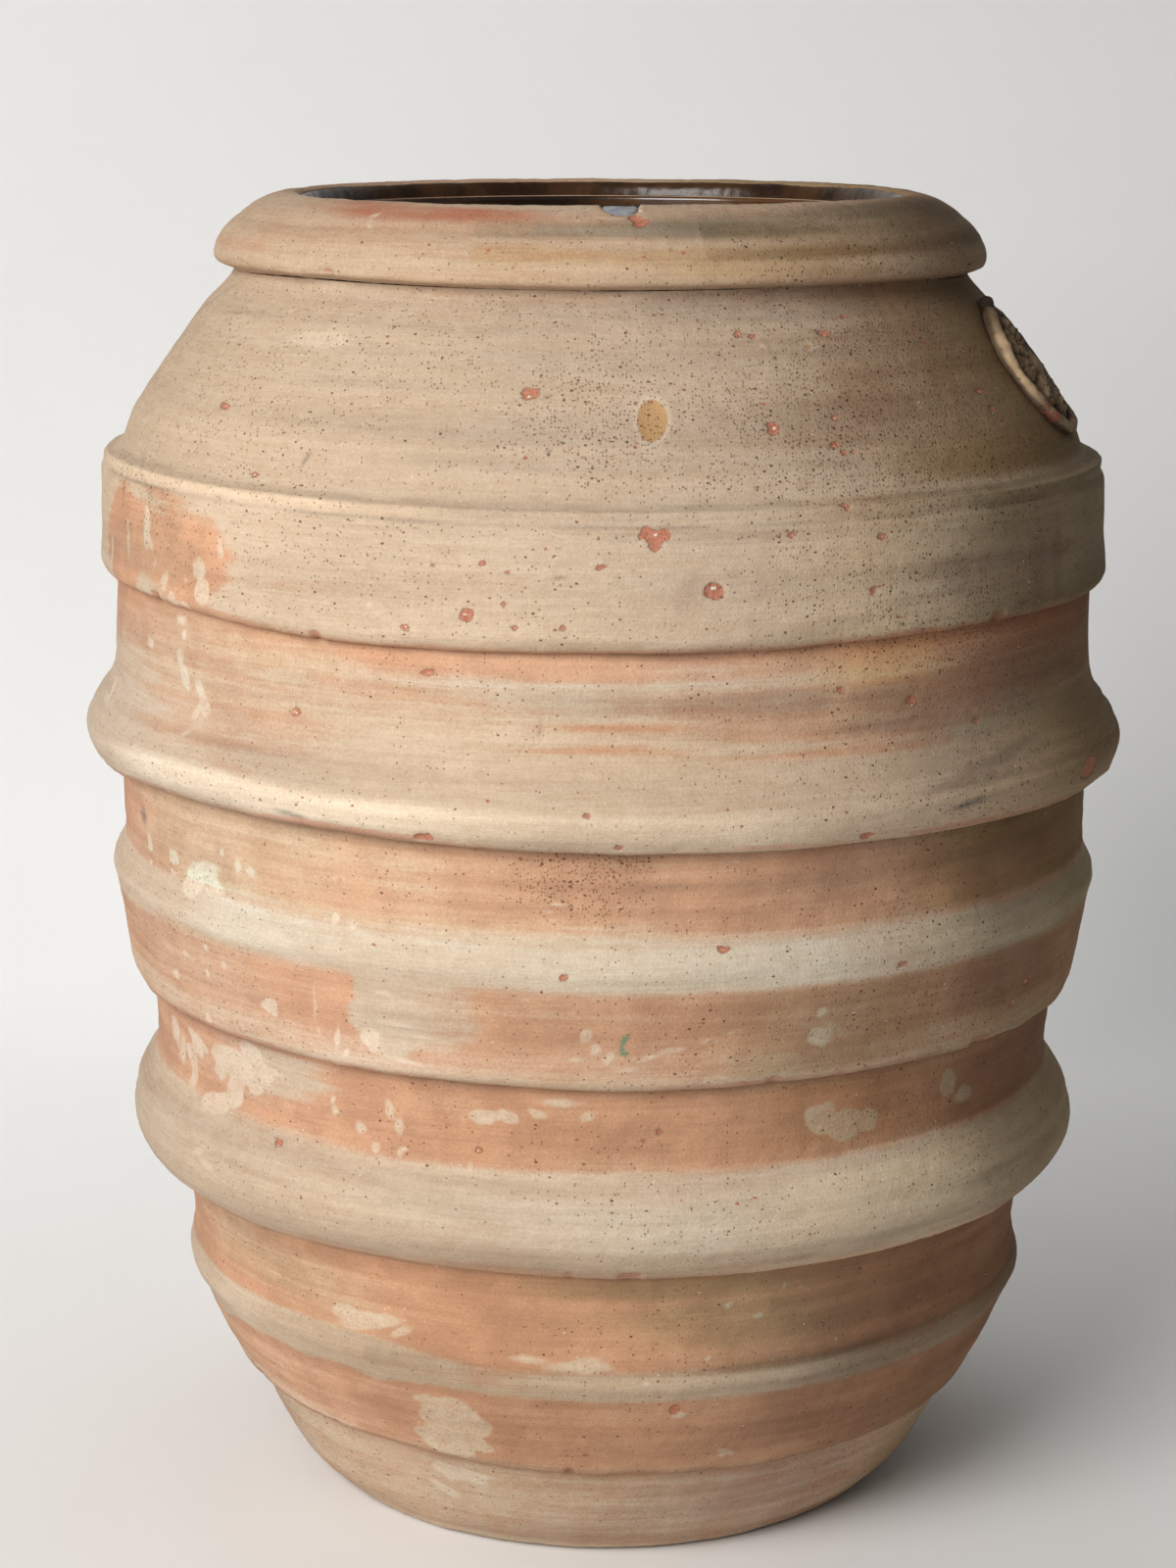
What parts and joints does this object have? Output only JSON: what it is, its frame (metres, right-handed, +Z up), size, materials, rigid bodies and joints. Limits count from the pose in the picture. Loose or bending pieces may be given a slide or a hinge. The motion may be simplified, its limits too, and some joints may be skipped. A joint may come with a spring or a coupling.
{
  "type": "olive jar",
  "caption": "Large wide-mouthed terracotta olive jar with applied bands round its body, a thick rolled rim, a glazed inside and a small oval clay medallion on the shoulder.",
  "frame": {"origin": "centre of the flat underside, on the floor the jar stands on", "axes": "+Z up the jar's axis to the mouth; the front faces -Y, and the medallion faces +X turned 17 degrees towards the front"},
  "size_m": [0.7234, 0.7234, 0.903],
  "materials": {
    "terracotta_body": "matt, unglazed, orange clay with a pale weathered bloom",
    "terracotta_band": "matt, unglazed, buff weathered clay worn through to orange",
    "terracotta_shoulder": "matt, unglazed, buff to grey-brown with dark speckle and red pop-outs",
    "terracotta_rim": "matt, unglazed, buff with pink and grey streaks",
    "glaze": "glossy dark brown lead glaze",
    "medallion_clay": "matt buff clay with dark weathering in the hollows",
    "grey_filler": "smooth matt grey repair mortar"
  },
  "bodies": {
    "root": {"floor_slab": "terracotta_body", "foot_course": "terracotta_body", "lower_course": "terracotta_body", "middle_course": "terracotta_body", "belly_course": "terracotta_body", "upper_course": "terracotta_body", "shoulder_course": "terracotta_shoulder", "rim_collar": "terracotta_rim", "band_1_flat": "terracotta_band", "band_2_roll": "terracotta_band", "band_3_flat": "terracotta_band", "band_4_roll": "terracotta_band", "band_5_flat": "terracotta_band", "glaze_lining": "glaze", "medallion_plaque": "medallion_clay", "medallion_border": "medallion_clay", "medallion_rosette": "medallion_clay", "medallion_boss": "medallion_clay", "medallion_nub": "medallion_clay", "rim_chip_fill": "grey_filler"}
  },
  "joints": []
}
